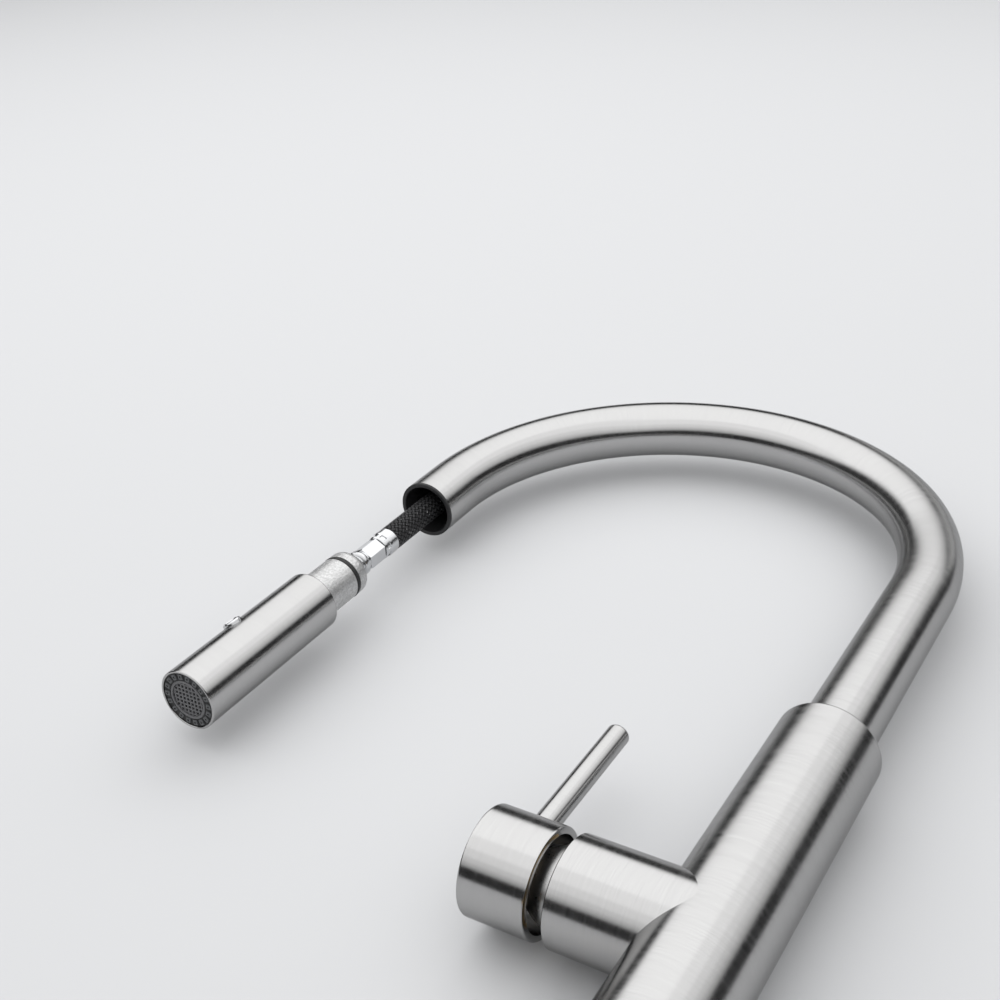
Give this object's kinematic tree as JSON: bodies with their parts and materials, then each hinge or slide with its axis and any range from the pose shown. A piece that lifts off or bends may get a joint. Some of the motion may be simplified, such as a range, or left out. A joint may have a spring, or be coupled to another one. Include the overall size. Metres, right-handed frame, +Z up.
{
  "type": "pull-down kitchen faucet",
  "caption": "Slim brushed-steel pull-down kitchen faucet: swivelling gooseneck spout, spray head on a braided hose with a weight, and a side valve with a pin lever.",
  "frame": {"origin": "centre of the face that seats on the deck, on the body's axis", "axes": "+Z up along the body's axis; the spout and the valve hub point to -X; the arch lies in the plane y = 0"},
  "size_m": [0.2707, 0.047, 0.8565],
  "materials": {
    "satin_steel": "fine brushed",
    "steel": "plain",
    "bright": "polished",
    "cast_satin": "satin, fine grain",
    "brass": "machined",
    "rubber": "matte",
    "silicone": "matte",
    "black_plastic": "matte",
    "grey_plastic": "matte",
    "white_plastic": "matte",
    "ceramic": "lapped ceramic",
    "braid": "braided nylon",
    "weight_iron": "dull"
  },
  "bodies": {
    "body": {"body_shell": "satin_steel", "base_ring": "satin_steel", "base_seal": "rubber", "shank": "brass", "deck_gasket": "rubber", "deck_washer": "steel", "shank_nut": "brass", "nut_screws": "steel", "valve_block": "brass", "port_seals": "rubber", "cartridge_base": "white_plastic", "fixed_disc": "ceramic", "cartridge_body": "white_plastic", "cartridge_nut": "brass", "bonnet": "satin_steel", "upper_bush": "black_plastic", "lower_bush": "black_plastic", "outlet_tube": "brass", "tube_rings": "rubber", "quick_connector": "black_plastic", "connector_clip": "grey_plastic", "return_collar": "bright", "hose_body": "braid", "hose_leg": "braid", "hose_return": "braid"},
    "spout": {"spout_tube": "satin_steel", "outlet_guide": "black_plastic", "spout_clip": "steel", "hose_spout": "braid", "hose_lead": "braid"},
    "hose_end": {"hose_fitting": "bright", "fitting_ring": "rubber", "crimp_collar": "bright"},
    "head": {"head_adapter": "cast_satin", "adapter_ring": "rubber", "check_valve": "white_plastic", "strainer": "steel", "head_shell": "satin_steel", "head_core": "grey_plastic", "nozzle_plate": "silicone", "face_ring": "grey_plastic", "aerator_cup": "grey_plastic", "aerator_screen": "steel", "diverter_spring": "steel", "button_spring": "steel"},
    "button": {"mode_button": "bright"},
    "plunger": {"diverter_plunger": "white_plastic"},
    "carrier": {"stem_carrier": "grey_plastic", "stem_pin": "steel"},
    "disc": {"moving_disc": "ceramic"},
    "handle": {"cartridge_stem": "steel", "handle_cap": "satin_steel", "lever_pin": "satin_steel", "set_screw": "steel", "screw_plug": "satin_steel"},
    "weight": {"weight_front": "weight_iron", "weight_back": "weight_iron", "weight_screws": "steel"},
    "loop": {"hose_bend": "braid"}
  },
  "joints": [
    {"name": "spout_swivel", "type": "hinge", "parent": "body", "child": "spout", "pos_m": [0, 0, 0.15], "axis": [0, 0, 1], "continuous": true},
    {"name": "head_pull", "type": "slide", "parent": "spout", "child": "hose_end", "axis": [0, 0, -1], "range_m": [-0.0903, 0.2], "deforming": ["hose_lead"]},
    {"name": "head_spin", "type": "hinge", "parent": "hose_end", "child": "head", "pos_m": [-0.233, 0, 0.16], "axis": [0, 0, 1], "continuous": true},
    {"name": "button_press", "type": "slide", "parent": "head", "child": "button", "axis": [0.5878, 0.809, 0], "range_m": [0, 0.002], "stiffness_N_per_m": 600, "springref_m": -0.001},
    {"name": "plunger_lift", "type": "slide", "parent": "head", "child": "plunger", "axis": [0, 0, 1], "range_m": [0, 0.002], "deforming": ["diverter_spring"]},
    {"name": "handle_turn", "type": "hinge", "parent": "body", "child": "carrier", "pos_m": [-0.05, 0, 0.057], "axis": [-1, 0, 0], "range_deg": [-45, 45]},
    {"name": "handle_tilt", "type": "hinge", "parent": "carrier", "child": "handle", "pos_m": [-0.05, 0, 0.057], "axis": [0, -1, 0], "range_deg": [0, 15]},
    {"name": "disc_slide", "type": "slide", "parent": "carrier", "child": "disc", "axis": [0, 0, 1], "range_m": [0, 0.0029]},
    {"name": "weight_rise", "type": "slide", "parent": "body", "child": "weight", "axis": [0, 0, 1], "range_m": [-0.0905, 0.2005]},
    {"name": "loop_rise", "type": "slide", "parent": "body", "child": "loop", "axis": [0, 0, 1], "range_m": [-0.0455, 0.1005], "deforming": ["hose_leg", "hose_return"]}
  ],
  "couplings": [
    {"joint": "plunger_lift", "follows": "button_press", "ratio": 1},
    {"joint": "disc_slide", "follows": "handle_tilt", "m_per_rad": 0.0104},
    {"joint": "weight_rise", "follows": "head_pull", "ratio": 1},
    {"joint": "loop_rise", "follows": "head_pull", "ratio": 0.5}
  ]
}
